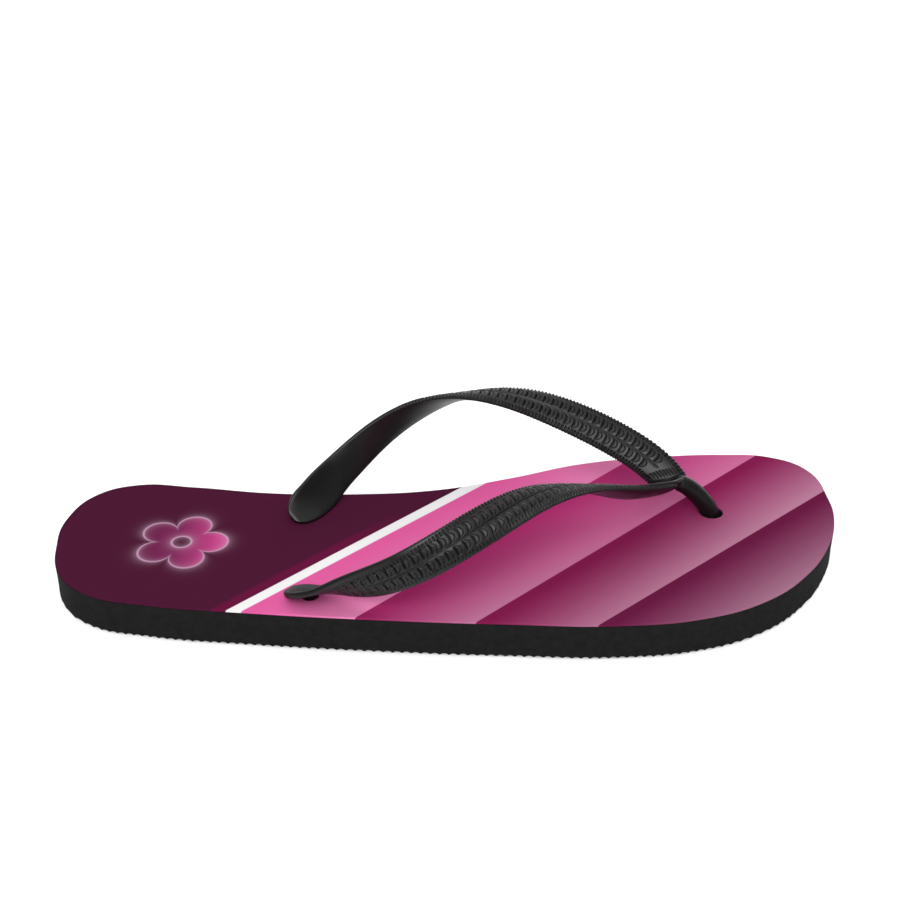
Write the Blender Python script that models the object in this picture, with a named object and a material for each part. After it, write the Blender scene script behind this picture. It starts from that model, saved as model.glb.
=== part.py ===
"""Right-foot flip flop: a foam rubber sole, a printed fabric footbed cover and a
one-piece moulded strap whose three plugs are pulled through the sole.

Metres, +Z up. +X points to the toes and +Y to the inner side of the foot. The origin
is on the ground, under the middle of the object's box.
"""
import math

import bmesh
import bpy
import numpy
from mathutils import Vector

MM = 0.001

# Driving dimensions, in millimetres.
SOLE_THICKNESS = 12.8
COVER_THICKNESS = 0.7
GAP = 0.3                       # kept between pieces that touch
FOOTBED = SOLE_THICKNESS + GAP + COVER_THICKNESS

ARM_WIDTH = 13.0
ARM_CROWN = 2.0                 # how far the patterned face stands out from the middle line
ARM_BACK = 1.4                  # how far the smooth face stands out on the other side
POST_RADIUS = 3.25              # toe post, between the first two toes
STEM_RADIUS = 2.6               # hidden stems under the two rear tongues

PLUG_RADIUS = 7.8               # mushroom disc under the sole
PLUG_THICKNESS = 3.2
RECESS_RADIUS = 8.3             # counterbore that hides the disc
RECESS_DEPTH = 4.4
POST_HOLE_RADIUS = 4.2
STEM_HOLE_RADIUS = 2.95

CURVE_STEPS = 8                 # straight pieces between two outline points
ARM_RINGS = 44
RING_SIDES = 16
ROUND_SIDES = 28

# Outline of the sole seen from above, from the toe tip round the inner side to the heel
# and back along the outer side.
OUTLINE = (
    (136.5, 21.0), (132.2, 42.5), (120.2, 51.0), (102.2, 52.7), (76.2, 50.9),
    (49.2, 46.0), (21.2, 35.6), (-3.8, 28.0), (-32.8, 24.9), (-64.8, 25.5),
    (-94.8, 29.7), (-114.3, 31.2), (-128.3, 24.6), (-135.8, 9.0), (-135.8, -8.0),
    (-131.0, -24.8), (-118.8, -36.4), (-100.8, -41.5), (-64.8, -46.0), (-22.8, -49.6),
    (19.2, -51.9), (54.2, -52.7), (82.2, -48.8), (103.2, -39.6), (119.2, -25.2),
    (130.2, -8.0), (135.4, 7.0),
)

# Middle line of each strap arm, from the tip of its rear tongue to the knot, and the turn
# of the ribbon there in degrees: 180 lies flat with the smooth face up, 90 stands on its
# edge with the patterned face outwards, 0 lies flat with the patterned face up.
INNER_ARM = (
    (-56.0, 5.3, 15.9, 145), (-50.4, 11.2, 18.6, 134), (-46.2, 18.1, 20.6, 125),
    (-40.8, 24.4, 23.2, 120), (-27.4, 34.4, 32.1, 90), (-13.4, 38.0, 40.7, 61),
    (3.1, 37.2, 47.1, 29), (20.5, 33.9, 48.6, -3), (39.2, 29.8, 44.6, -31),
    (59.5, 24.0, 36.7, -44), (68.8, 19.9, 32.1, -42), (77.1, 14.0, 25.8, -39),
)
OUTER_ARM = (
    (-53.6, -37.6, 16.0, 168), (-48.3, -39.8, 17.6, 161), (-41.3, -42.0, 19.4, 148),
    (-33.1, -44.9, 22.8, 125), (-16.1, -50.0, 32.3, 91), (-1.4, -48.0, 40.1, 61),
    (14.5, -38.7, 45.2, 29), (30.9, -26.8, 46.3, -2), (46.7, -16.3, 41.7, -28),
    (62.5, -5.3, 33.4, -40), (70.0, 1.5, 29.7, -39), (76.5, 8.0, 26.8, -38),
)
# Width and thickness at those points, as shares of the full ones.
ARM_TAPER = (0.34, 0.80, 0.97, 1.0, 1.0, 1.0, 1.0, 1.0, 1.0, 1.0, 0.99, 0.92)
ARM_THINNING = (0.50, 0.80, 0.90, 0.95, 1.0, 1.0, 1.0, 1.0, 1.0, 1.0, 1.0, 1.0)

# The toe post, from inside the knot down to its plug.
POST_PATH = (
    (79.0, 12.1, 26.5), (85.0, 12.9, 23.0), (89.4, 13.0, 18.4), (92.1, 13.0, 13.8),
    (92.7, 13.0, 9.0), (92.7, 13.0, 3.6),
)
KNOT_CENTRE = (78.2, 11.8, 26.9)
KNOT_RADII = (7.2, 6.4, 3.6)
KNOT_SLOPE = 35                 # degrees that the knot leans down towards the toes

# Each plug: where its stem starts, and the middle of its disc under the sole.
INNER_STEM_TOP = (-50.2, 11.0, 17.2)
INNER_PLUG = (-49.9, 10.2)
OUTER_STEM_TOP = (-46.0, -37.4, 16.8)
OUTER_PLUG = (-46.0, -34.4)
POST_PLUG = (92.7, 13.0)
PLUG_BOTTOM = RECESS_DEPTH - GAP - PLUG_THICKNESS
STEM_BOTTOM = PLUG_BOTTOM + 1   # inside the disc


def clear_scene():
    for old in list(bpy.data.objects):
        bpy.data.objects.remove(old, do_unlink=True)


def new_collection(name):
    collection = bpy.data.collections.new(name)
    bpy.context.scene.collection.children.link(collection)
    return collection


def material(name, color, roughness):
    made = bpy.data.materials.new(name)
    made.use_nodes = True
    shader = made.node_tree.nodes["Principled BSDF"]
    shader.inputs["Base Color"].default_value = (*color, 1)
    shader.inputs["Roughness"].default_value = roughness
    shader.inputs["Metallic"].default_value = 0
    return made


def add_mesh(name, mesh, collection):
    made = bpy.data.objects.new(name, mesh)
    collection.objects.link(made)
    return made


def hide_as_cutter(made):
    made.hide_render = True
    made.display_type = "WIRE"
    return made


def curve_to_mesh(curve_object, collection):
    """The curve's solid as a mesh object, with its caps welded on."""
    bpy.context.view_layer.update()
    graph = bpy.context.evaluated_depsgraph_get()
    mesh = bpy.data.meshes.new_from_object(curve_object.evaluated_get(graph))
    shell = bmesh.new()
    shell.from_mesh(mesh)
    bmesh.ops.remove_doubles(shell, verts=shell.verts, dist=0.00001)
    bmesh.ops.recalc_face_normals(shell, faces=shell.faces)
    shell.to_mesh(mesh)
    shell.free()
    made = add_mesh(curve_object.name + "_solid", mesh, collection)
    made.matrix_world = curve_object.matrix_world
    bpy.data.objects.remove(curve_object, do_unlink=True)
    return made


def outline_slab(name, bottom, thickness, collection):
    """The sole's outline as a flat slab of one thickness."""
    curve = bpy.data.curves.new(name, "CURVE")
    curve.dimensions = "2D"
    curve.fill_mode = "BOTH"
    curve.extrude = thickness / 2 * MM
    curve.resolution_u = CURVE_STEPS
    spline = curve.splines.new("BEZIER")
    spline.bezier_points.add(len(OUTLINE) - 1)
    spline.use_cyclic_u = True
    for point, (x, y) in zip(spline.bezier_points, OUTLINE):
        point.co = (x * MM, y * MM, 0)
        point.handle_left_type = "AUTO"
        point.handle_right_type = "AUTO"
    flat = bpy.data.objects.new(name + "_outline", curve)
    collection.objects.link(flat)
    flat.location.z = (bottom + thickness / 2) * MM
    slab = curve_to_mesh(flat, collection)
    slab.name = name
    return slab


def rod(name, top, bottom, radius, collection):
    """A straight round rod between two points given in millimetres."""
    run = Vector(top) - Vector(bottom)
    shell = bmesh.new()
    bmesh.ops.create_cone(shell, cap_ends=True, segments=ROUND_SIDES, radius1=radius * MM,
                          radius2=radius * MM, depth=run.length * MM)
    mesh = bpy.data.meshes.new(name)
    shell.to_mesh(mesh)
    shell.free()
    made = add_mesh(name, mesh, collection)
    made.rotation_euler = run.to_track_quat("Z", "Y").to_euler()
    made.location = (Vector(top) + Vector(bottom)) / 2 * MM
    return made


def tube(name, path, radius, collection):
    """A round bar along a smooth path."""
    curve = bpy.data.curves.new(name, "CURVE")
    curve.dimensions = "3D"
    curve.bevel_depth = radius * MM
    curve.bevel_resolution = 6
    curve.use_fill_caps = True
    points = smooth_rows(path, 16)
    spline = curve.splines.new("POLY")
    spline.points.add(len(points) - 1)
    for point, place in zip(spline.points, points):
        point.co = (*(place * MM), 1)
    bar = bpy.data.objects.new(name, curve)
    collection.objects.link(bar)
    return curve_to_mesh(bar, collection)


def smooth_rows(rows, count):
    """Rows of numbers read evenly along a natural cubic spline through the given rows."""
    rows = numpy.array(rows, dtype=float)
    steps = numpy.linalg.norm(numpy.diff(rows[:, :3], axis=0), axis=1)
    reach = numpy.concatenate(([0.0], numpy.cumsum(steps)))
    system = numpy.eye(len(rows))
    right = numpy.zeros_like(rows)
    for i in range(1, len(rows) - 1):
        before, after = steps[i - 1], steps[i]
        system[i, i - 1:i + 2] = before, 2 * (before + after), after
        right[i] = 6 * ((rows[i + 1] - rows[i]) / after - (rows[i] - rows[i - 1]) / before)
    bend = numpy.linalg.solve(system, right)
    result = []
    for at in numpy.linspace(0, reach[-1], count):
        i = min(int(numpy.searchsorted(reach, at, side="right")) - 1, len(steps) - 1)
        step, past = steps[i], at - reach[i]
        left = step - past
        result.append((bend[i] * left ** 3 + bend[i + 1] * past ** 3) / (6 * step)
                      + (rows[i] / step - bend[i] * step / 6) * left
                      + (rows[i + 1] / step - bend[i + 1] * step / 6) * past)
    return numpy.array(result)


def ring_shape(angle):
    """A rounded flat section: across the ribbon, and through its thickness."""
    power = 0.88
    across = math.copysign(abs(math.cos(angle)) ** power, math.cos(angle))
    through = math.copysign(abs(math.sin(angle)) ** power, math.sin(angle))
    return across, through


def strap_arm(name, path, inward, collection):
    """A twisted ribbon lofted along its path. inward is +1 if the foot's middle is at +Y."""
    rows = smooth_rows([(*row, taper, thinning) for row, taper, thinning
                        in zip(path, ARM_TAPER, ARM_THINNING)], ARM_RINGS)
    centres = [Vector(row[:3]) for row in rows]
    shell = bmesh.new()
    rings = []
    for i, row in enumerate(rows):
        ahead = centres[min(i + 1, len(rows) - 1)] - centres[max(i - 1, 0)]
        ahead.normalize()
        side = Vector((0, 0, 1)).cross(ahead).normalized()
        above = ahead.cross(side)
        turn = math.radians(row[3])
        width_axis = side * inward * math.cos(turn) + above * math.sin(turn)
        outward = ahead.cross(width_axis) * inward
        ring = []
        for k in range(RING_SIDES):
            across, through = ring_shape(2 * math.pi * k / RING_SIDES)
            depth = ARM_CROWN if through > 0 else ARM_BACK
            place = (centres[i] + width_axis * across * ARM_WIDTH / 2 * row[4]
                     + outward * through * depth * row[5])
            ring.append(shell.verts.new(place * MM))
        rings.append(ring)
    for lower, upper in zip(rings, rings[1:]):
        for k in range(RING_SIDES):
            after = (k + 1) % RING_SIDES
            shell.faces.new((lower[k], lower[after], upper[after], upper[k]))
    shell.faces.new(rings[0])
    shell.faces.new(rings[-1])
    bmesh.ops.recalc_face_normals(shell, faces=shell.faces)
    mesh = bpy.data.meshes.new(name)
    shell.to_mesh(mesh)
    shell.free()
    return add_mesh(name, mesh, collection)


def knot(collection):
    """The lump where the two arms and the toe post run together."""
    shell = bmesh.new()
    bmesh.ops.create_uvsphere(shell, u_segments=24, v_segments=14, radius=1)
    mesh = bpy.data.meshes.new("knot")
    shell.to_mesh(mesh)
    shell.free()
    made = add_mesh("knot", mesh, collection)
    made.scale = Vector(KNOT_RADII) * MM
    made.rotation_euler.y = math.radians(KNOT_SLOPE)
    made.location = Vector(KNOT_CENTRE) * MM
    return made


def boolean(made, operation, other):
    """Adds an exact Boolean with an object, or with every object of a collection."""
    modifier = made.modifiers.new(operation.lower(), "BOOLEAN")
    modifier.operation = operation
    modifier.solver = "EXACT"
    if isinstance(other, bpy.types.Collection):
        modifier.operand_type = "COLLECTION"
        modifier.collection = other
    else:
        modifier.object = other


def cut_plug_places(made, cutters, with_recess):
    """Cuts the three strap holes, and the recesses under the sole, out of a slab."""
    places = (
        ("post", (*POST_PLUG, FOOTBED + 2), POST_PLUG, POST_HOLE_RADIUS),
        ("inner_stem", INNER_STEM_TOP, INNER_PLUG, STEM_HOLE_RADIUS),
        ("outer_stem", OUTER_STEM_TOP, OUTER_PLUG, STEM_HOLE_RADIUS),
    )
    for name, top, plug, radius in places:
        hole = rod(made.name + "_" + name + "_hole", top, (*plug, STEM_BOTTOM), radius,
                   cutters)
        boolean(made, "DIFFERENCE", hide_as_cutter(hole))
        if with_recess:
            recess = rod(name + "_recess", (*plug, RECESS_DEPTH), (*plug, -2),
                         RECESS_RADIUS, cutters)
            boolean(made, "DIFFERENCE", hide_as_cutter(recess))


def build_sole(parts, cutters):
    sole = outline_slab("sole", 0, SOLE_THICKNESS, parts)
    cut_plug_places(sole, cutters, with_recess=True)
    sole.data.materials.append(material("sole_foam_rubber", (0.016, 0.016, 0.016), 0.8))


def build_cover(parts, cutters):
    cover = outline_slab("footbed_cover", SOLE_THICKNESS + GAP, COVER_THICKNESS, parts)
    cut_plug_places(cover, cutters, with_recess=False)
    cover.data.materials.append(material("printed_fabric", (0.42, 0.05, 0.17), 0.7))


def build_strap(parts, cutters):
    """The strap is one moulding: arms, knot, toe post, stems and plugs made one body."""
    limbs = bpy.data.collections.new("strap_limbs")
    cutters.children.link(limbs)
    strap_arm("inner_arm", INNER_ARM, -1, limbs)
    strap_arm("outer_arm", OUTER_ARM, 1, limbs)
    knot(limbs)
    stems = (("inner", INNER_STEM_TOP, INNER_PLUG), ("outer", OUTER_STEM_TOP, OUTER_PLUG))
    plug_top = PLUG_BOTTOM + PLUG_THICKNESS
    for name, top, plug in stems:
        rod(name + "_stem", top, (*plug, STEM_BOTTOM), STEM_RADIUS, limbs)
        rod(name + "_disc", (*plug, plug_top), (*plug, PLUG_BOTTOM), PLUG_RADIUS, limbs)
    rod("post_disc", (*POST_PLUG, plug_top), (*POST_PLUG, PLUG_BOTTOM), PLUG_RADIUS, limbs)
    for limb in limbs.objects:
        hide_as_cutter(limb)
    strap = tube("toe_post", POST_PATH, POST_RADIUS, parts)
    strap.name = "strap"
    boolean(strap, "UNION", limbs)
    strap.data.materials.append(material("strap_rubber", (0.014, 0.014, 0.014), 0.45))


def shade(parts):
    for made in parts.objects:
        made.data.shade_smooth()
        made.data.set_sharp_from_angle(angle=math.radians(40))


def main():
    clear_scene()
    parts = new_collection("flip_flop")
    cutters = new_collection("cutters")
    build_sole(parts, cutters)
    build_cover(parts, cutters)
    build_strap(parts, cutters)
    shade(parts)


main()
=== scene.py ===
"""Looks of the right-foot flip flop: a black foam rubber sole with a ribbed underside, a
printed fabric footbed cover, and a moulded rubber strap with an embossed outer face.

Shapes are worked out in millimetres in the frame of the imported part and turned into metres
when a mesh is made. +X points to the toes, +Y to the inner side of the foot, +Z up.
"""
import math

import bmesh
import bpy
import numpy as np
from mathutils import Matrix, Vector
from mathutils.geometry import delaunay_2d_cdt
from mathutils.kdtree import KDTree


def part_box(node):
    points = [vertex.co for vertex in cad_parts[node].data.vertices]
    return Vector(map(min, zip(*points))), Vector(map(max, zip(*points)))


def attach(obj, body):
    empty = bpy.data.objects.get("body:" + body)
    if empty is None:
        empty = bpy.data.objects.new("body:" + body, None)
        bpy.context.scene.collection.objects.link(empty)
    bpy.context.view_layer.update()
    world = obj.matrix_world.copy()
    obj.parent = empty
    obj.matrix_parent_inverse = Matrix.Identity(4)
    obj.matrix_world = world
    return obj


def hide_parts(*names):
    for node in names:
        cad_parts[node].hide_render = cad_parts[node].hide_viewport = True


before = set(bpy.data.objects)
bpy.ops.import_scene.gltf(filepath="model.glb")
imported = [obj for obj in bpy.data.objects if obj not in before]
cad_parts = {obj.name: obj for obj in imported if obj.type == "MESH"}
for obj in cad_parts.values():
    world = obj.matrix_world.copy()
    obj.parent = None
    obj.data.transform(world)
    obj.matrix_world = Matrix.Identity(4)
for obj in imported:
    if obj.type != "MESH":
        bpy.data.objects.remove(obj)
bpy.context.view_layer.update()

MM = 0.001


def box_mm(node):
    """The lowest and highest corner of a CAD node, in millimetres."""
    low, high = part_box(node)
    return np.array(low) / MM, np.array(high) / MM


SOLE_LOW, SOLE_HIGH = box_mm("sole")
COVER_LOW, COVER_HIGH = box_mm("footbed_cover")

# Sole, in millimetres.
SOLE_TOP = COVER_LOW[2] - 0.04          # the foam meets the fabric, short of touching it
RIB_PITCH = 3.0                         # ribs across the underside, seen as scallops
RIB_DEPTH = 0.7
RIB_SAMPLES = 8                         # mesh columns to a rib
RIB_SWAY = 2.4                          # how far a rib wanders towards the toes
RIB_SWAY_LENGTH = 21.0
RIB_SHARPNESS = 0.8                     # below 1 widens the valleys and sharpens the ribs
UNDERSIDE_LANES = 44                    # mesh rows across the underside
RIM_GAP = 0.3                           # between the outline and the first mesh points inside

# Strap, in millimetres: the part's middle lines, from the tip of the rear tongue to the knot,
# with the ribbon's turn in degrees. The inner one runs on under the knot's rim, and the outer
# one has a point less near the knot.
INNER_ARM = (
    (-56.0, 5.3, 15.9, 145), (-50.4, 11.2, 18.6, 134), (-46.2, 18.1, 20.6, 125),
    (-40.8, 24.4, 23.2, 120), (-27.4, 34.4, 32.1, 90), (-13.4, 38.0, 40.7, 61),
    (3.1, 37.2, 47.1, 29), (20.5, 33.9, 48.6, -3), (39.2, 29.8, 44.6, -31),
    (59.5, 24.0, 36.7, -44), (74.0, 16.6, 28.6, -40), (80.6, 10.6, 22.2, -38),
)
OUTER_ARM = (
    (-53.6, -37.6, 16.0, 168), (-48.3, -39.8, 17.6, 161), (-41.3, -42.0, 19.4, 148),
    (-33.1, -44.9, 22.8, 125), (-16.1, -50.0, 32.3, 91), (-1.4, -48.0, 40.1, 61),
    (14.5, -38.7, 45.2, 29), (30.9, -26.8, 46.3, -2), (46.7, -16.3, 41.7, -28),
    (62.5, -5.3, 33.4, -40), (76.5, 8.0, 26.8, -38),
)
INNER_STOP = 163.7                      # where along its line each arm meets the knot
OUTER_STOP = 156.5
FAN_SKEW = 0.54                         # slant of the inner arm's fan of ridges
END_SKEW = 0.02                         # and of its very end, on the inner side
HALF_WIDTH = 6.5
CROWN = 2.0                             # patterned face above the middle line
BACK = 1.4                              # smooth face below it
EDGE_RADIUS = 0.75
TONGUE_LENGTH = 9.5                     # the rear tongue's rounded end
TONGUE_TOP = 1.25                       # the tongue's thick edge, either side of the line
TONGUE_LOW = 0.95
TONGUE_DISH = 0.75                      # hollow of its smooth face

# The embossed pattern, in millimetres.
SCALE_PITCH = 3.15                      # from one D-shaped scale to the next
SCALE_ROW = 2.62                        # how far each row lies from the centre groove
SCALE_LENGTH = 2.35
SCALE_HALF = 2.1
SLIT_DEPTH = 1.05
TOOTH_PITCH = SCALE_PITCH / 2.5
TOOTH_LENGTH = 1.25
TOOTH_DEPTH = 0.50
RIM_WIDTH = 1.0                         # plain rim outside the teeth, at the rear only
FAN_START = 6.7                         # rice-grain ridges, before the arm's end
FAN_LENGTH = 3.2
FAN_COUNT = 11
ROW_STEP = SCALE_PITCH / 18
FACE_STEP = 0.18

POST_PATH = (
    (78.4, 12.1, 27.1), (81.3, 12.5, 25.9), (85.0, 12.9, 23.2), (89.4, 13.0, 18.4),
    (92.1, 13.0, 13.8), (92.7, 13.0, 9.0), (92.7, 13.0, 3.6),
)
POST_RADIUS = 3.25
STEM_RADIUS = 2.6
POST_HOLE_RADIUS = 4.2
STEM_HOLE_RADIUS = 2.95
RECESS_RADIUS = 8.3
RECESS_DEPTH = 4.4
PLUG_RADIUS = 7.8
PLUG_LOW = 0.9
PLUG_THICKNESS = 3.2
STEM_BOTTOM = PLUG_LOW + 1
# Where each stem starts, the middle of its disc, and the radius of its hole.
STEMS = {
    "inner": ((-50.2, 11.0, 15.8), (-49.9, 10.2), STEM_HOLE_RADIUS),
    "outer": ((-46.0, -37.4, 16.4), (-46.0, -34.4), STEM_HOLE_RADIUS),
    "post": ((92.7, 13.0, 16.0), (92.7, 13.0), POST_HOLE_RADIUS),
}
# Knot: the rim that closes the V between the two arms, and the foot of its wall.
RIM_PATH = (
    (61.2, -12.2, 40.7), (67.0, -7.2, 37.9), (72.6, -2.1, 35.3), (75.8, 1.2, 33.7),
    (78.2, 5.2, 31.9), (80.4, 9.6, 29.9), (82.0, 13.8, 28.1),
)
WALL_FOOT = ((75.6, 5.6, 28.0), (78.4, 9.0, 26.6), (80.8, 12.0, 25.6), (82.6, 13.6, 25.2))
ROUND_SIDES = 64
POST_ROWS = 90                          # mesh rows along the post, the bead and the wall
RIM_ROWS = 70
WALL_ROWS = 24
RIM_RADIUS = 0.34
WALL_HALF_THICKNESS = 0.95
POST_STEM_TOP = 9.0                     # the post's plug ends here, inside the post

CAMERA_PLACE = (0.00181, -0.42603, 0.30079)     # metres
CAMERA_TURN = 59.0                      # degrees up from straight down
CAMERA_LENS = 58.03
CAMERA_SENSOR = 36.0
FLOOR_REACH = 6.0                       # metres from the middle to the floor's edges
FLOOR_DROP = 0.0002                     # metres below the ribs, so that the two don't meet

STUDIO_LIGHT = 1.50                     # how bright a level white face turns out
FRONT_LIGHT = (-0.05, -0.72, 0.69)      # the way to the soft light in front


# ---------------------------------------------------------------- shape helpers

class Shell:
    """Points in millimetres and faces, gathered into one closed mesh."""

    def __init__(self):
        self.points = []
        self.faces = []

    def ring(self, points):
        start = len(self.points)
        self.points.extend(tuple(float(v) for v in p) for p in points)
        return list(range(start, len(self.points)))

    def bridge(self, lower, upper):
        count = len(lower)
        for i in range(count):
            after = (i + 1) % count
            self.faces.append((lower[i], lower[after], upper[after], upper[i]))

    def fill(self, loops, inside=(), height=None):
        """Fills the first loop, less the others, using the points given inside it."""
        places = [Vector(self.points[i][:2]) for loop in loops for i in loop]
        numbers = [i for loop in loops for i in loop]
        edges = []
        start = 0
        for loop in loops:
            count = len(loop)
            edges += [(start + i, start + (i + 1) % count) for i in range(count)]
            start += count
        on_loops = start
        if len(inside):
            z = height(inside[:, 0], inside[:, 1])
            numbers += self.ring(np.column_stack((inside, z)))
            places += [Vector((float(x), float(y))) for x, y in inside]
        flat, _, faces, origin, _, _ = delaunay_2d_cdt(places, edges, [], 0, 1e-7, True)
        outlines = [np.array([self.points[i][:2] for i in loop]) for loop in loops]
        first = [found[0] if found else -1 for found in origin]
        for face in faces:
            corners = [first[i] for i in face]
            if min(corners) < 0:
                continue
            if max(corners) < on_loops:
                middle = sum((np.array(flat[i]) for i in face), np.zeros(2)) / 3
                within = [bool(inside_of(middle[None], line)[0]) for line in outlines]
                if not within[0] or any(within[1:]):
                    continue
            self.faces.append(tuple(numbers[i] for i in corners))

    def build(self, name, sharp_degrees=50):
        mesh = bpy.data.meshes.new(name)
        mesh.from_pydata((np.array(self.points) * MM).tolist(), [], self.faces)
        shell = bmesh.new()
        shell.from_mesh(mesh)
        bmesh.ops.recalc_face_normals(shell, faces=shell.faces)
        shell.to_mesh(mesh)
        shell.free()
        mesh.shade_smooth()
        if sharp_degrees:
            mesh.set_sharp_from_angle(angle=math.radians(sharp_degrees))
        made = bpy.data.objects.new(name, mesh)
        bpy.context.scene.collection.objects.link(made)
        return made


def inside_of(places, outline):
    """Which places lie inside a closed outline."""
    x0, y0 = outline[:, 0], outline[:, 1]
    x1, y1 = np.roll(x0, -1), np.roll(y0, -1)
    result = np.zeros(len(places), bool)
    run = np.where(y1 == y0, 1e-12, y1 - y0)
    for start in range(0, len(places), 2000):
        x = places[start:start + 2000, 0][:, None]
        y = places[start:start + 2000, 1][:, None]
        crosses = (y0 > y) != (y1 > y)
        hit = x < (x1 - x0) * (y - y0) / run + x0
        result[start:start + 2000] = (np.sum(crosses & hit, axis=1) % 2).astype(bool)
    return result


def clear_of(places, outline, distance):
    """The places that keep a distance from an outline's points."""
    tree = KDTree(len(outline))
    for i, (x, y) in enumerate(outline):
        tree.insert((x, y, 0), i)
    tree.balance()
    keep = [tree.find((x, y, 0))[2] > distance for x, y in places]
    return places[np.array(keep, bool)]


def spline(rows, at=None, count=0):
    """Rows read along a natural cubic spline: at lengths in mm, or evenly spread."""
    rows = np.array(rows, float)
    steps = np.linalg.norm(np.diff(rows[:, :3], axis=0), axis=1)
    reach = np.concatenate(([0.0], np.cumsum(steps)))
    if at is None:
        at = np.linspace(0, reach[-1], count)
    system = np.eye(len(rows))
    right = np.zeros_like(rows)
    for i in range(1, len(rows) - 1):
        before, after = steps[i - 1], steps[i]
        system[i, i - 1:i + 2] = before, 2 * (before + after), after
        right[i] = 6 * ((rows[i + 1] - rows[i]) / after - (rows[i] - rows[i - 1]) / before)
    bend = np.linalg.solve(system, right)
    place = np.clip(np.searchsorted(reach, at, side="right") - 1, 0, len(steps) - 1)
    step = steps[place][:, None]
    past = (at - reach[place])[:, None]
    left = step - past
    lower, upper = rows[place], rows[place + 1]
    return ((bend[place] * left ** 3 + bend[place + 1] * past ** 3) / (6 * step)
            + (lower / step - bend[place] * step / 6) * left
            + (upper / step - bend[place + 1] * step / 6) * past)


def loop_spline(points, spacing):
    """Points spread evenly along a smooth closed curve through the given ones."""
    points = np.array(points, float)
    before, after = np.roll(points, 1, axis=0), np.roll(points, -1, axis=0)
    beyond = np.roll(points, -2, axis=0)
    t = np.linspace(0, 1, 16, endpoint=False)[None, :, None]
    a, b, c, d = (p[:, None] for p in (before, points, after, beyond))
    fine = 0.5 * (2 * b + (c - a) * t + (2 * a - 5 * b + 4 * c - d) * t ** 2
                  + (3 * b - a - 3 * c + d) * t ** 3)
    fine = fine.reshape(-1, 2)
    closed = np.vstack((fine, fine[:1]))
    reach = np.concatenate(([0.0], np.cumsum(np.linalg.norm(np.diff(closed, axis=0), axis=1))))
    count = int(round(reach[-1] / spacing))
    at = np.arange(count) * reach[-1] / count
    return np.column_stack([np.interp(at, reach, closed[:, k]) for k in (0, 1)])


def cad_outline(node, low, high):
    """The rim of a CAD slab's top face, in order round its middle."""
    points = np.array([v.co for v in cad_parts[node].data.vertices]) / MM
    top = points[points[:, 2] > high[2] - 0.01][:, :2]
    for _, plug, _ in STEMS.values():
        away = np.hypot(top[:, 0] - plug[0], top[:, 1] - plug[1])
        top = top[away > RECESS_RADIUS]
    top = np.unique(np.round(top, 4), axis=0)
    return top[np.argsort(np.arctan2(top[:, 1], top[:, 0]))]


def inset(outline, distance):
    """The closed outline drawn in by a distance."""
    ahead = np.roll(outline, -1, axis=0) - np.roll(outline, 1, axis=0)
    ahead /= np.linalg.norm(ahead, axis=1)[:, None]
    return outline + np.column_stack((-ahead[:, 1], ahead[:, 0])) * distance


def circle(centre, radius, z, sides=ROUND_SIDES):
    turn = np.arange(sides) * 2 * math.pi / sides
    heights = z(centre[0] + radius * np.cos(turn), centre[1] + radius * np.sin(turn)) \
        if callable(z) else np.full(sides, z)
    return np.column_stack((centre[0] + radius * np.cos(turn),
                            centre[1] + radius * np.sin(turn), heights))


def stem_centre(name, z):
    """Where a stem's slanting axis crosses a height."""
    top, plug, _ = STEMS[name]
    share = (z - STEM_BOTTOM) / (top[2] - STEM_BOTTOM)
    return (plug[0] + (top[0] - plug[0]) * share, plug[1] + (top[1] - plug[1]) * share)


def smoothstep(low, high, value):
    t = np.clip((value - low) / (high - low), 0, 1)
    return t * t * (3 - 2 * t)


OUTLINE = cad_outline("footbed_cover", COVER_LOW, COVER_HIGH)


# ---------------------------------------------------------------- sole

def rib_sway(y):
    return RIB_SWAY / 2 * np.sin(2 * math.pi * y / RIB_SWAY_LENGTH)


def rib_height(x, y):
    """Underside of the sole: rounded valleys between sharp ribs that touch the ground."""
    phase = (x - rib_sway(y)) / RIB_PITCH
    return RIB_DEPTH * np.abs(np.sin(math.pi * phase)) ** RIB_SHARPNESS


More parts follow.
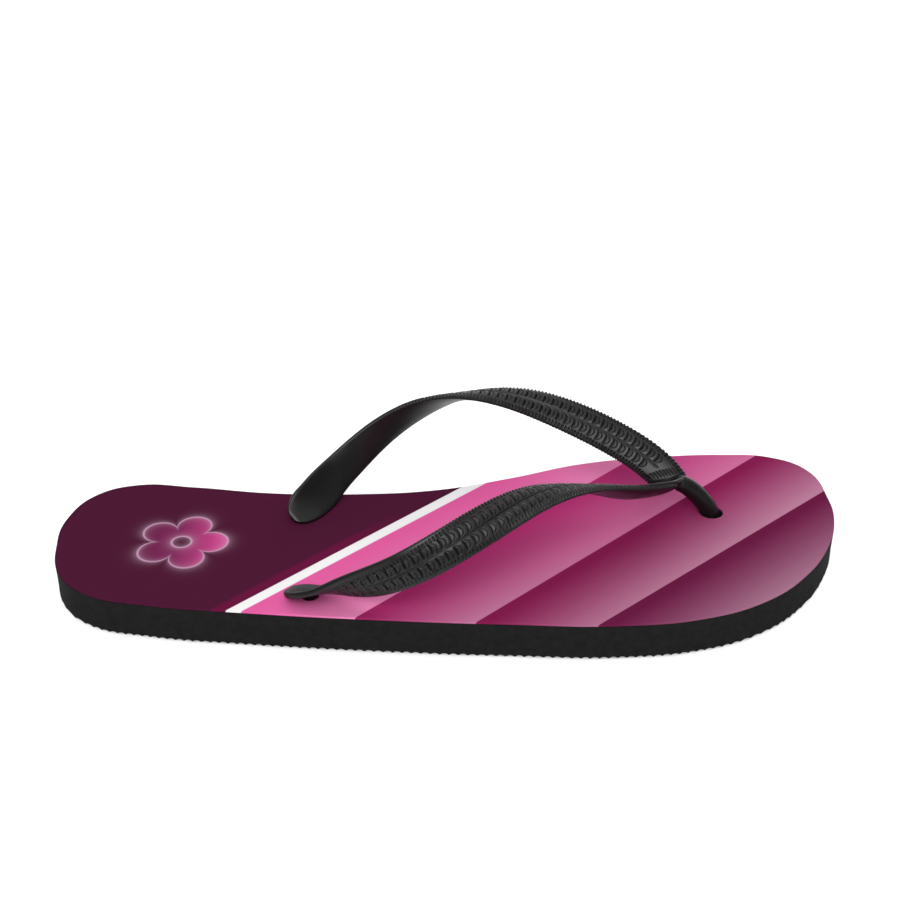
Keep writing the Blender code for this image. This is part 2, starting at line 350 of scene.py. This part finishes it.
def make_sole():
    shell = Shell()
    outline = loop_spline(OUTLINE, RIB_PITCH / RIB_SAMPLES)
    # Each row of the wall: height, how much of the ribs it keeps, and how far it is inset.
    wall = (
        (0.0, 1.0, RIM_GAP), (0.28, 0.95, 0.06), (0.7, 0.72, 0.0), (1.4, 0.25, 0.0),
        (2.4, 0.0, 0.02), (5.0, 0.0, 0.10), (8.0, 0.0, 0.12), (11.0, 0.0, 0.05),
        (SOLE_TOP - 0.5, 0.0, 0.0), (SOLE_TOP - 0.12, 0.0, 0.10), (SOLE_TOP, 0.0, 0.45),
    )
    rings = []
    for z, share, away in wall:
        line = inset(outline, away)
        height = z + share * rib_height(outline[:, 0], outline[:, 1])
        rings.append(shell.ring(np.column_stack((line, height))))
    for lower, upper in zip(rings, rings[1:]):
        shell.bridge(lower, upper)

    below, above = [rings[0]], [rings[-1]]
    for name, (_, plug, radius) in STEMS.items():
        mouth = shell.ring(circle(plug, RECESS_RADIUS, rib_height))
        ceiling = shell.ring(circle(plug, RECESS_RADIUS, RECESS_DEPTH))
        entry = shell.ring(circle(stem_centre(name, RECESS_DEPTH), radius, RECESS_DEPTH))
        middle = SOLE_TOP / 2 + RECESS_DEPTH / 2
        waist = shell.ring(circle(stem_centre(name, middle), radius - 0.05, middle))
        leaves = shell.ring(circle(stem_centre(name, SOLE_TOP), radius, SOLE_TOP))
        for lower, upper in zip((mouth, ceiling, entry, waist), (ceiling, entry, waist, leaves)):
            shell.bridge(lower, upper)
        below.append(mouth)
        above.append(leaves)

    step = RIB_PITCH / RIB_SAMPLES
    columns = np.arange(SOLE_LOW[0], SOLE_HIGH[0], step)
    lanes = np.linspace(SOLE_LOW[1], SOLE_HIGH[1], UNDERSIDE_LANES)
    x, y = np.meshgrid(np.round(columns / step) * step, lanes)
    grid = np.column_stack(((x + rib_sway(y)).ravel(), y.ravel()))
    rim = inset(outline, RIM_GAP)
    grid = clear_of(grid[inside_of(grid, rim)], rim, RIM_GAP)
    for _, plug, _ in STEMS.values():
        away = np.hypot(grid[:, 0] - plug[0], grid[:, 1] - plug[1])
        grid = grid[away > RECESS_RADIUS + RIM_GAP]
    shell.fill(below, grid, rib_height)
    shell.fill(above)
    return shell.build("sole_foam", 35)


# ---------------------------------------------------------------- footbed cover

def make_cover():
    """The printed fabric, glued on the foam, with its cut edge a little rounded."""
    shell = Shell()
    outline = loop_spline(OUTLINE, 0.8)
    top, bottom = COVER_HIGH[2], COVER_LOW[2]
    profile = (
        (bottom, 0.10), (bottom + 0.15, 0.0), (top - 0.30, 0.0), (top - 0.12, 0.06),
        (top - 0.03, 0.20), (top, 0.45),
    )
    rings = [shell.ring(np.column_stack((inset(outline, away), np.full(len(outline), z))))
             for z, away in profile]
    for lower, upper in zip(rings, rings[1:]):
        shell.bridge(lower, upper)
    below, above = [rings[0]], [rings[-1]]
    for name, (_, _, radius) in STEMS.items():
        rows = ((bottom, 0.0), (top - 0.25, 0.0), (top - 0.06, 0.10), (top, 0.32))
        loops = [shell.ring(circle(stem_centre(name, z), radius + wider, z))
                 for z, wider in rows]
        for lower, upper in zip(loops, loops[1:]):
            shell.bridge(lower, upper)
        below.append(loops[0])
        above.append(loops[-1])
    shell.fill(below)
    shell.fill(above)
    return shell.build("printed_cover", 35), outline


# ---------------------------------------------------------------- strap

def scale_relief(along, across):
    """One D-shaped scale: a curved slit, a face that rises towards the toes, a fine groove."""
    arch = np.sqrt(np.clip(1 - (across / (SCALE_HALF * 0.94)) ** 2, 0, 1))
    radius = np.hypot(along / SCALE_LENGTH, across / SCALE_HALF)
    rear = 0.35 * arch - 0.15
    slit = rear + 0.72 * arch
    outer = SCALE_LENGTH * 0.86 * arch
    climb = np.clip((along - slit) / np.maximum(outer - slit, 0.2), 0, 1)
    rise = -0.22 * SLIT_DEPTH * (1 - climb)
    place = (along - rear) / np.maximum(slit - rear, 0.1)
    cleft = -SLIT_DEPTH * (1 - np.clip(np.abs(2 * place - 1), 0, 1) ** 1.5)
    height = np.where(along < slit, cleft, rise)
    height = np.where((radius > 0.85) & (along > 0.15), -0.5 * SLIT_DEPTH, height)
    inside = (arch > 0) & (along > rear) & ((radius < 0.98) | (along < slit))
    return height * inside * smoothstep(0, 0.35, arch)


def tooth_mask(along):
    """1 in the gaps between the teeth of an edge, 0 on the teeth."""
    return smoothstep(-0.2, 0.5, np.cos(2 * math.pi * along / TOOTH_PITCH))


def pattern_relief(along, across, row_ends, to_stop):
    """Height of the embossed face over the plain one, in millimetres.

    along runs from the rear tip. row_ends are where the last scale of the row at negative
    across, and of the other one, ends. to_stop is what is left before the arm's end."""
    side = np.abs(across)
    end = np.where(across < 0, row_ends[0], row_ends[1])
    cell = (along - end) / SCALE_PITCH
    local = (cell - np.floor(cell)) * SCALE_PITCH - (SCALE_PITCH - SCALE_LENGTH)
    scales = np.where(along < end, scale_relief(local, side - SCALE_ROW), 0)
    groove = -0.42 * np.exp(-(across / 0.16) ** 2) - 0.18 * np.exp(-(across / 0.8) ** 2)
    groove = groove * smoothstep(FAN_START + 0.6, FAN_START + 2.5, to_stop)
    rim = RIM_WIDTH * (1 - smoothstep(35, 75, along))
    tooth_start = HALF_WIDTH - TOOTH_LENGTH - rim * 1.6
    band = smoothstep(tooth_start - 0.12, tooth_start + 0.12, side)
    band = band * smoothstep(HALF_WIDTH - rim + 0.13, HALF_WIDTH - rim - 0.13, side)
    band = np.where(rim < 0.1, smoothstep(tooth_start - 0.12, tooth_start + 0.12, side), band)
    teeth = -TOOTH_DEPTH * tooth_mask(along) * band
    lane = (across / HALF_WIDTH + 1) / 2 * FAN_COUNT
    grain = np.abs((lane - np.floor(lane)) - 0.5) * 2
    share = np.clip((FAN_START - to_stop) / FAN_LENGTH, 0, 1)
    fan = -0.62 * smoothstep(0.95 - 0.55 * np.sin(math.pi * share ** 0.7), 1.0, grain + 0.12)
    fan = fan * (share > 0) * (share < 1) * (side < HALF_WIDTH - 0.9)
    dip = -0.7 * smoothstep(FAN_START - FAN_LENGTH, 0.3, to_stop)
    return scales + groove + fan + teeth, dip


def section():
    """Stations round the ribbon: across the patterned face, round an edge, and back."""
    flat = HALF_WIDTH - EDGE_RADIUS
    count = int(round(2 * flat / FACE_STEP))
    face = np.linspace(-flat, flat, count + 1)
    edge = np.linspace(0, math.pi, 9)[1:-1]
    back = np.linspace(flat, -flat, 17)
    return face, edge, back


def face_heights(face, back, along):
    """Plain heights of the patterned and the smooth face, from tongue to mid-arm."""
    along = along[:, None]
    share = smoothstep(10, 36, along)
    bulge = 1 - 0.62 * (np.abs(face) / HALF_WIDTH) ** 2.4
    top = (1 - share) * TONGUE_TOP * (1 - 0.08 * np.abs(face / HALF_WIDTH) ** 3) \
        + share * CROWN * bulge
    hollow = np.clip(1 - (back / (HALF_WIDTH - 1.3)) ** 2, 0, 1)
    bulge = 1 - 0.62 * (np.abs(back) / HALF_WIDTH) ** 2.4
    hollow = hollow * smoothstep(1, 9, along)
    low = -(1 - share) * (TONGUE_LOW - TONGUE_DISH * hollow) - share * BACK * bulge
    return top, low


def arm_frame(path, inward, step):
    """Centres, width axes and outward directions along an arm's middle line."""
    rows = np.array(path, float)
    length = np.linalg.norm(np.diff(rows[:, :3], axis=0), axis=1).sum()
    at = np.arange(0, length, step)
    read = spline(rows, at)
    centres, turn = read[:, :3], np.radians(read[:, 3])
    ahead = np.gradient(centres, axis=0)
    ahead /= np.linalg.norm(ahead, axis=1)[:, None]
    side = np.cross([0, 0, 1], ahead)
    side /= np.linalg.norm(side, axis=1)[:, None]
    above = np.cross(ahead, side)
    width_axis = side * inward * np.cos(turn)[:, None] + above * np.sin(turn)[:, None]
    return at, centres, width_axis, np.cross(ahead, width_axis) * inward


def make_arm(name, path, inward, stop, pattern_start, row_ends, skew, widening):
    """One arm of the strap. inward is +1 where the foot's middle is at +Y."""
    reach, centres, width_axis, outward = arm_frame(path, inward, 0.1)
    at = np.append(np.arange(0, stop, ROW_STEP), stop)
    face, edge, back = section()
    flat = HALF_WIDTH - EDGE_RADIUS
    slant = skew * FAN_SKEW * smoothstep(stop - 26, stop - FAN_START, at)[:, None]
    less = skew * (FAN_SKEW - END_SKEW) * smoothstep(stop - 5, stop, at)[:, None]

    def read_at(across):
        """Where along the line a place lies: rows slant across the arm near its end."""
        return at[:, None] - (slant - less * (across < 0)) * across

    fade = smoothstep(pattern_start, pattern_start + 8, at)[:, None]

    along = read_at(face)
    relief, dip = pattern_relief(along, face * HALF_WIDTH / flat, row_ends,
                                 (stop - at)[:, None])
    top, low = face_heights(face, back, at)
    rounded_tip = np.sqrt(1 - (1 - np.clip(at / 4.5, 0, 1)) ** 2)
    top = (top + relief * fade + dip) * (0.1 + 0.9 * rounded_tip)[:, None]
    low = low * (0.1 + 0.9 * np.sqrt(1 - (1 - np.clip(at / 1.5, 0, 1)) ** 2))[:, None]

    tip = 1 - np.clip((at + 0.02) / TONGUE_LENGTH, 0, 1)
    taper = np.clip(np.sqrt(np.clip(1 - tip ** 2, 0, 1)), 0.04, 1)
    taper = taper * (1 - 0.05 * smoothstep(stop - 8, stop, at))
    wide = 1 + widening * np.exp(-((at - 16.5) / 7) ** 2)
    notch = tooth_mask(at) * smoothstep(45, 75, at) * fade[:, 0]
    radius = EDGE_RADIUS * (1 - 0.40 * notch)[:, None]

    def rounded(rise, drop, sign):
        middle, half = (rise + drop)[:, None] / 2, (rise - drop)[:, None] / 2
        return sign * (flat + radius * np.sin(edge)), middle + sign * half * np.cos(edge)

    right_across, right = rounded(top[:, -1], low[:, 0], 1)
    left_across, left = rounded(top[:, 0], low[:, -1], -1)
    across = np.hstack((np.tile(face, (len(at), 1)), right_across,
                        np.tile(back, (len(at), 1)), left_across))
    height = np.hstack((top, right, low, left))
    along = read_at(across)
    width = across * taper[:, None] * np.where(across < 0, wide[:, None], 1)

    def read(values):
        return np.stack([np.interp(along, reach, values[:, k]) for k in range(3)], axis=-1)

    points = read(centres) + read(width_axis) * width[..., None] \
        + read(outward) * height[..., None]
    shell = Shell()
    rings = [shell.ring(ring) for ring in points]
    for lower, upper in zip(rings, rings[1:]):
        shell.bridge(lower, upper)
    for ring, row in ((rings[0], points[0]), (rings[-1], points[-1])):
        centre = shell.ring([row.mean(axis=0)])[0]
        count = len(ring)
        shell.faces += [(ring[k], ring[(k + 1) % count], centre) for k in range(count)]
    return shell.build(name, 0)


def tube_rows(shell, points, radii, sides=40):
    """A closed tube with a radius for each point, and flat ends."""
    points = np.array(points, float)
    ahead = np.gradient(points, axis=0)
    ahead /= np.linalg.norm(ahead, axis=1)[:, None]
    side = np.cross([0.0, 1.0, 0.0], ahead)
    side /= np.linalg.norm(side, axis=1)[:, None]
    above = np.cross(ahead, side)
    turn = np.arange(sides) * 2 * math.pi / sides
    rings = []
    for i, radius in enumerate(radii):
        rings.append(shell.ring(points[i] + side[i] * (radius * np.cos(turn))[:, None]
                                + above[i] * (radius * np.sin(turn))[:, None]))
    for lower, upper in zip(rings, rings[1:]):
        shell.bridge(lower, upper)
    for ring in (rings[0], rings[-1]):
        shell.faces.append(tuple(ring))


def make_post():
    """The toe post, from under the knot down to its plug disc."""
    shell = Shell()
    rows = spline(POST_PATH, count=POST_ROWS)
    reach = np.concatenate(([0.0], np.cumsum(np.linalg.norm(np.diff(rows, axis=0), axis=1))))
    start = 1 - np.clip((reach + 0.1) / 2.6, 0, 1)
    radii = (POST_RADIUS - 0.25 * (1 - smoothstep(2, 9, reach))) * np.sqrt(1 - start ** 2)
    tube_rows(shell, rows, radii)
    return shell.build("toe_post", 40)


def make_knot_wall():
    """The wall that closes the V between the arms and runs down into the toe post."""
    shell = Shell()
    upper = spline(RIM_PATH[3:], count=WALL_ROWS)
    lower = spline(WALL_FOOT, count=WALL_ROWS)
    turn = np.arange(WALL_ROWS) * 2 * math.pi / WALL_ROWS
    last = WALL_ROWS - 1
    rings = []
    for i in range(WALL_ROWS):
        ahead = upper[min(i + 1, last)] - upper[max(i - 1, 0)]
        reach = (upper[i] - lower[i]) / 2
        out = np.cross(ahead, reach)
        out /= np.linalg.norm(out)
        middle = (upper[i] + lower[i]) / 2
        rings.append(shell.ring(middle + reach * np.cos(turn)[:, None]
                                + out * WALL_HALF_THICKNESS * np.sin(turn)[:, None]))
    for one, other in zip(rings, rings[1:]):
        shell.bridge(one, other)
    shell.faces.append(tuple(rings[0]))
    shell.faces.append(tuple(rings[-1]))
    return shell.build("knot_wall", 60)


def make_rim():
    """The thin bead along the outer arm's edge and round the knot."""
    shell = Shell()
    rows = spline(RIM_PATH, count=RIM_ROWS)
    share = np.linspace(0, 1, RIM_ROWS)
    radii = RIM_RADIUS * np.clip(np.minimum(share / 0.3, (1.02 - share) / 0.06), 0.05, 1)
    tube_rows(shell, rows, radii, sides=16)
    return shell.build("knot_rim", 60)


def make_plug(name):
    """A stem and the moulded disc that holds it under the sole."""
    top, plug, _ = STEMS[name]
    shell = Shell()
    low, high = PLUG_LOW, PLUG_LOW + PLUG_THICKNESS
    profile = [
        (0.9, low + 0.5), (1.5, low + 0.12), (2.6, low), (PLUG_RADIUS - 2.2, low),
        (PLUG_RADIUS - 1.9, low + 0.22), (PLUG_RADIUS - 1.5, low + 0.22),
        (PLUG_RADIUS - 1.2, low), (PLUG_RADIUS - 0.5, low + 0.05),
        (PLUG_RADIUS - 0.12, low + 0.35), (PLUG_RADIUS, low + 0.9),
        (PLUG_RADIUS - 0.1, high - 0.6), (PLUG_RADIUS - 0.6, high - 0.1),
        (PLUG_RADIUS - 1.2, high),
    ]
    rings = [shell.ring(circle(plug, radius, z)) for radius, z in profile]
    radius = POST_RADIUS if name == "post" else STEM_RADIUS
    rings.append(shell.ring(circle(stem_centre(name, high), radius + 0.6, high)))
    end = POST_STEM_TOP if name == "post" else top[2]
    for z in np.linspace(high + 0.5, end, 8):
        rings.append(shell.ring(circle(stem_centre(name, z), radius, z)))
    for lower, upper in zip(rings, rings[1:]):
        shell.bridge(lower, upper)
    shell.faces.append(tuple(rings[0]))
    shell.faces.append(tuple(rings[-1]))
    return shell.build(name + "_plug", 40)


# ---------------------------------------------------------------- materials

def linear(red, green, blue):
    """A colour as seen in the studio's light, 0 to 255, as the one that a shader takes."""
    values = []
    for shown in (red, green, blue):
        share = shown / 255
        value = share / 12.92 if share <= 0.04045 else ((share + 0.055) / 1.055) ** 2.4
        values.append(value / STUDIO_LIGHT)
    return values


def new_material(name):
    made = bpy.data.materials.new(name)
    made.use_nodes = True
    return made, made.node_tree, made.node_tree.nodes["Principled BSDF"]


class Graph:
    """Short calls for adding nodes to a material."""

    def __init__(self, tree):
        self.tree = tree

    def put(self, socket, value):
        if isinstance(value, bpy.types.NodeSocket):
            self.tree.links.new(value, socket)
        else:
            socket.default_value = value

    def node(self, kind, output=0, settings=None, **inputs):
        made = self.tree.nodes.new(kind)
        for key, value in (settings or {}).items():
            setattr(made, key, value)
        for key, value in inputs.items():
            self.put(made.inputs[key.replace("_", " ")], value)
        return made.outputs[output]

    def math(self, operation, a, b=0.0, c=0.0):
        made = self.tree.nodes.new("ShaderNodeMath")
        made.operation = operation
        for socket, value in zip(made.inputs, (a, b, c)):
            self.put(socket, value)
        return made.outputs[0]

    def ramp(self, factor, stops, mode="LINEAR"):
        made = self.tree.nodes.new("ShaderNodeValToRGB")
        made.color_ramp.interpolation = mode
        elements = made.color_ramp.elements
        while len(elements) < len(stops):
            elements.new(0.5)
        for element, (place, color) in zip(elements, stops):
            element.position = place
            element.color = (*color, 1)
        self.put(made.inputs[0], factor)
        return made.outputs[0]

    def mix(self, factor, a, b):
        made = self.tree.nodes.new("ShaderNodeMix")
        made.data_type = "RGBA"
        self.put(made.inputs[0], factor)
        self.put(made.inputs[6], a)
        self.put(made.inputs[7], b)
        return made.outputs[2]

    def bump(self, height, strength, distance, normal=None):
        made = self.tree.nodes.new("ShaderNodeBump")
        made.inputs["Strength"].default_value = strength
        made.inputs["Distance"].default_value = distance
        self.put(made.inputs["Height"], height)
        if normal is not None:
            self.put(made.inputs["Normal"], normal)
        return made.outputs[0]

    def noise(self, vector, scale, detail=3.0, roughness=0.5):
        return self.node("ShaderNodeTexNoise", Vector=vector, Scale=scale, Detail=detail,
                         Roughness=roughness)


def foam_material():
    made, tree, shader = new_material("sole_foam_rubber")
    graph = Graph(tree)
    place = graph.node("ShaderNodeTexCoord", output=3)
    mottle = graph.noise(place, 420.0, 4.0, 0.6)
    grain = graph.noise(place, 2600.0, 2.0, 0.6)
    color = graph.ramp(mottle, ((0.30, linear(24, 24, 24)), (0.70, linear(33, 33, 33))))
    graph.put(shader.inputs["Base Color"], color)
    graph.put(shader.inputs["Normal"],
              graph.bump(grain, 0.5, 0.0002, graph.bump(mottle, 0.35, 0.0006)))
    shader.inputs["Roughness"].default_value = 0.85
    shader.inputs["Specular IOR Level"].default_value = 0.05
    return made


def rubber_material():
    made, tree, shader = new_material("strap_rubber")
    graph = Graph(tree)
    place = graph.node("ShaderNodeTexCoord", output=3)
    cloud = graph.noise(place, 160.0, 3.0, 0.5)
    grain = graph.noise(place, 3200.0, 2.0, 0.6)
    color = graph.ramp(cloud, ((0.30, linear(12, 12, 12)), (0.70, linear(17, 17, 17))))
    rough = graph.node("ShaderNodeMapRange", Value=cloud, From_Min=0.3, From_Max=0.7,
                       To_Min=0.34, To_Max=0.42)
    graph.put(shader.inputs["Base Color"], color)
    graph.put(shader.inputs["Roughness"], rough)
    graph.put(shader.inputs["Normal"], graph.bump(grain, 0.25, 0.0001))
    shader.inputs["Specular IOR Level"].default_value = 0.26
    return made


# Print: where each band starts. Two points of its rear edge, in millimetres.
BAND_EDGES = {
    "maroon": ((-77.6, -44.9), (-4.5, 27.2)),
    "white": ((-72.7, -45.4), (3.8, 29.4)),
    "pink": ((-67.5, -45.7), (11.7, 31.1)),
    "magenta": ((-30.7, -49.2), (63.6, 45.1)),
    "plum": ((8.2, -51.4), (115.0, 51.6)),
    "dark": ((47.3, -52.8), (136.2, 27.1)),
}
PLUM = (75, 26, 51)
MAROON = (100, 23, 61)
WHITE = (238, 236, 237)
HAZE_PER_MM = 0.0145                    # how fast a band pales towards the toes
HAZE_START = 3.0
HAZE_STOPS = (0, 3, 6, 10, 15, 20, 26, 32)      # millimetres in front of a band's rear edge
THREAD_PITCH = 0.55
FLOWER_CENTRE = (-93.0, -6.0)
FLOWER_RADIUS = 16.0
FLOWER_HEART = 3.4                      # radius of the open middle


def hazed(color, distance, strength=1.0):
    """A band's colour at a distance from its rear edge."""
    share = max(0.0, distance - HAZE_START) * HAZE_PER_MM * strength
    return linear(*(v + (255 - v) * share for v in color))


def band_distance(graph, x, y, edge):
    """How far a place lies in front of a band's rear edge, in millimetres."""
    (x0, y0), (x1, y1) = edge
    length = math.hypot(x1 - x0, y1 - y0)
    along_x, along_y = (x1 - x0) / length, (y1 - y0) / length
    return graph.math("ADD", graph.math("MULTIPLY", graph.math("SUBTRACT", x, x0), along_y),
                      graph.math("MULTIPLY", graph.math("SUBTRACT", y, y0), -along_x))


def past(graph, distance, soft=0.12):
    """0 before an edge and 1 past it."""
    return graph.node("ShaderNodeMapRange", Value=distance, From_Min=-soft, From_Max=soft)


def hazed_ramp(graph, distance, color, strength=1.0):
    """The band's colours, from its rear edge to where the haze stops growing."""
    span = float(HAZE_STOPS[-1])
    stops = [(d / span, hazed(color, d, strength)) for d in HAZE_STOPS]
    return graph.ramp(graph.math("DIVIDE", distance, span), stops)


def flower(graph, x, y, ground):
    """A plain five-petalled flower, filled with a pink that deepens, in a pale outline."""
    east = graph.math("SUBTRACT", x, FLOWER_CENTRE[0])
    north = graph.math("SUBTRACT", y, FLOWER_CENTRE[1])
    away = graph.math("SQRT", graph.math("ADD", graph.math("MULTIPLY", east, east),
                                         graph.math("MULTIPLY", north, north)))
    turn = graph.math("ARCTAN2", north, east)
    lobe = graph.math("ABSOLUTE", graph.math("COSINE", graph.math("MULTIPLY", turn, 2.5)))
    rim = graph.math("MULTIPLY_ADD", graph.math("POWER", lobe, 0.6), FLOWER_RADIUS * 0.46,
                     FLOWER_RADIUS * 0.54)
    beyond = graph.math("SUBTRACT", away, rim)
    heart = graph.math("SUBTRACT", FLOWER_HEART, away)
    edge = graph.math("MAXIMUM", beyond, heart)
    inside = graph.node("ShaderNodeMapRange", Value=edge, From_Min=0.15, From_Max=-0.15)
    shade = graph.node("ShaderNodeMapRange", Value=east, From_Min=-FLOWER_RADIUS,
                       From_Max=FLOWER_RADIUS)
    fill = graph.ramp(shade, ((0.0, linear(98, 33, 68)), (0.45, linear(120, 42, 86)),
                              (0.8, linear(176, 62, 122)), (1.0, linear(205, 82, 148))))
    line = graph.node("ShaderNodeMapRange", Value=graph.math("ABSOLUTE", edge), From_Min=0.55,
                      From_Max=0.20)
    glow = graph.math("MULTIPLY", graph.math("EXPONENT", graph.math(
        "MULTIPLY", graph.math("ABSOLUTE", edge), -0.75)), 0.34)
    color = graph.mix(inside, ground, fill)
    color = graph.mix(glow, color, (*linear(205, 165, 190), 1))
    return graph.mix(graph.math("MULTIPLY", line, 0.8), color, (*linear(195, 150, 180), 1))


def print_material():
    made, tree, shader = new_material("printed_fabric")
    graph = Graph(tree)
    place = graph.node("ShaderNodeTexCoord", output=3)
    split = tree.nodes.new("ShaderNodeSeparateXYZ")
    tree.links.new(place, split.inputs[0])
    x = graph.math("DIVIDE", split.outputs[0], MM)
    y = graph.math("DIVIDE", split.outputs[1], MM)
    distance = {name: band_distance(graph, x, y, edge) for name, edge in BAND_EDGES.items()}

    color = flower(graph, x, y, (*linear(*PLUM), 1))
    inner = graph.node("ShaderNodeMapRange", Value=y, From_Min=-8.0, From_Max=14.0)
    maroon = graph.mix(inner, (*linear(*MAROON), 1), (*linear(*PLUM), 1))
    color = graph.mix(past(graph, distance["maroon"], 0.6), color, maroon)
    color = graph.mix(past(graph, distance["white"]), color, (*linear(*WHITE), 1))
    pink = hazed_ramp(graph, distance["pink"], (221, 93, 157), 0.70)
    color = graph.mix(past(graph, distance["pink"]), color, pink)
    outer_side = hazed_ramp(graph, distance["magenta"], (152, 39, 94), 0.95)
    inner_side = hazed_ramp(graph, distance["magenta"], (174, 50, 110), 0.68)
    across = graph.node("ShaderNodeMapRange", Value=y, From_Min=-50.0, From_Max=5.0)
    color = graph.mix(past(graph, distance["magenta"]), color,
                      graph.mix(across, outer_side, inner_side))
    color = graph.mix(past(graph, distance["plum"]), color,
                      hazed_ramp(graph, distance["plum"], (127, 29, 75)))
    color = graph.mix(past(graph, distance["dark"]), color,
                      hazed_ramp(graph, distance["dark"], (102, 27, 64)))

    # A plain weave: warp and weft threads take turns on top.
    thread = 2 * math.pi / THREAD_PITCH
    warp = graph.math("SINE", graph.math("MULTIPLY", x, thread))
    weft = graph.math("SINE", graph.math("MULTIPLY", y, thread))
    weave = graph.math("MULTIPLY", warp, weft)
    fibre = graph.noise(place, 5200.0, 2.0, 0.6)
    height = graph.math("MULTIPLY_ADD", fibre, 0.5, weave)
    # Painted light and shade on the weave: the colour is lighter where the threads stand high
    # and darker in the hollows between them. The fibre noise in the same height adds random
    # tone.
    thread_light_and_shade = graph.node("ShaderNodeMapRange", Value=height, From_Min=-1.0, From_Max=1.5,
                      To_Min=0.955, To_Max=1.035)
    shaded = graph.node("ShaderNodeVectorMath", settings={"operation": "SCALE"})
    scale = shaded.node
    graph.put(scale.inputs[0], color)
    graph.put(scale.inputs["Scale"], thread_light_and_shade)
    graph.put(shader.inputs["Base Color"], shaded)
    graph.put(shader.inputs["Normal"], graph.bump(height, 0.18, 0.00006))
    shader.inputs["Roughness"].default_value = 0.85
    shader.inputs["Specular IOR Level"].default_value = 0.0
    return made


def floor_material():
    made, _, shader = new_material("pale_floor")
    shader.inputs["Base Color"].default_value = (0.90, 0.90, 0.90, 1)
    shader.inputs["Roughness"].default_value = 0.9
    shader.inputs["Specular IOR Level"].default_value = 0.1
    return made


# ---------------------------------------------------------------- studio

def make_camera():
    data = bpy.data.cameras.new("camera")
    data.lens = CAMERA_LENS
    data.sensor_width = CAMERA_SENSOR
    camera = bpy.data.objects.new("camera", data)
    camera.location = CAMERA_PLACE
    camera.rotation_euler = (math.radians(CAMERA_TURN), 0.0, 0.0)
    bpy.context.scene.collection.objects.link(camera)
    bpy.context.scene.camera = camera


def make_light(name, place, target, size, power):
    data = bpy.data.lights.new(name, "AREA")
    data.shape = "RECTANGLE"
    data.size, data.size_y = size
    data.energy = power
    light = bpy.data.objects.new(name, data)
    light.location = place
    aim = Vector(target) - Vector(place)
    light.rotation_euler = aim.to_track_quat("-Z", "Y").to_euler()
    bpy.context.scene.collection.objects.link(light)


def make_sky():
    """An even studio dome: bright overhead and in front, dim near the horizon."""
    world = bpy.data.worlds.new("studio")
    world.use_nodes = True
    graph = Graph(world.node_tree)
    way = graph.node("ShaderNodeTexCoord", output=0)
    front = graph.node("ShaderNodeVectorMath", output=1, settings={"operation": "DOT_PRODUCT"})
    graph.put(front.node.inputs[0], way)
    front.node.inputs[1].default_value = FRONT_LIGHT
    height = graph.node("ShaderNodeSeparateXYZ", output=2, Vector=way)
    dome = graph.node("ShaderNodeMapRange", Value=height, From_Min=0.15, From_Max=0.95,
                      To_Min=0.10, To_Max=0.80)
    wall = graph.node("ShaderNodeMapRange", From_Min=0.3, From_Max=0.9, To_Min=0.0, To_Max=1.1,
                      Value=graph.node("ShaderNodeSeparateXYZ", output=1, Vector=way))
    glow = graph.node("ShaderNodeMapRange", Value=front, From_Min=0.90, From_Max=0.985,
                      To_Min=0.0, To_Max=10.0)
    glow = graph.math("ADD", glow, wall)
    back = world.node_tree.nodes["Background"]
    graph.put(back.inputs["Strength"], graph.math("ADD", dome, glow))
    back.inputs["Color"].default_value = (1, 1, 1, 1)
    bpy.context.scene.world = world


def make_studio():
    mesh = bpy.data.meshes.new("floor")
    reach = FLOOR_REACH
    corners = [(-reach, -reach, 0), (reach, -reach, 0), (reach, reach, 0), (-reach, reach, 0)]
    mesh.from_pydata(corners, [], [(0, 1, 2, 3)])
    floor = bpy.data.objects.new("floor", mesh)
    floor.location.z = -FLOOR_DROP
    bpy.context.scene.collection.objects.link(floor)
    floor.data.materials.append(floor_material())
    make_sky()
    make_light("overhead", (0.0, 0.1, 1.2), (0, 0, 0), (1.2, 0.9), 3.0)
    bpy.context.scene.view_settings.view_transform = "Standard"


def dress(piece, material, slot, *nodes):
    piece.data.materials.append(material)
    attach(piece, "root")
    if nodes:
        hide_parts(*nodes)


def main():
    make_camera()
    make_studio()
    foam, rubber, fabric = foam_material(), rubber_material(), print_material()
    dress(make_sole(), foam, "sole_foam", "sole")
    cover, outline = make_cover()
    dress(cover, fabric, "printed_fabric", "footbed_cover")
    inner_end, outer_end = INNER_STOP - 8.5, OUTER_STOP - 7.5
    strap = (
        make_arm("inner_arm", INNER_ARM, -1, INNER_STOP, 24.0,
                 (inner_end, inner_end - SCALE_PITCH), 1.0, 0.25),
        make_arm("outer_arm", OUTER_ARM, 1, OUTER_STOP, 17.0, (outer_end, outer_end), 0.0, 0.0),
        make_post(), make_knot_wall(), make_rim(),
    )
    for piece in strap:
        dress(piece, rubber, "strap_rubber", "strap")
    for name in STEMS:
        dress(make_plug(name), rubber, "strap_rubber", "strap")


main()
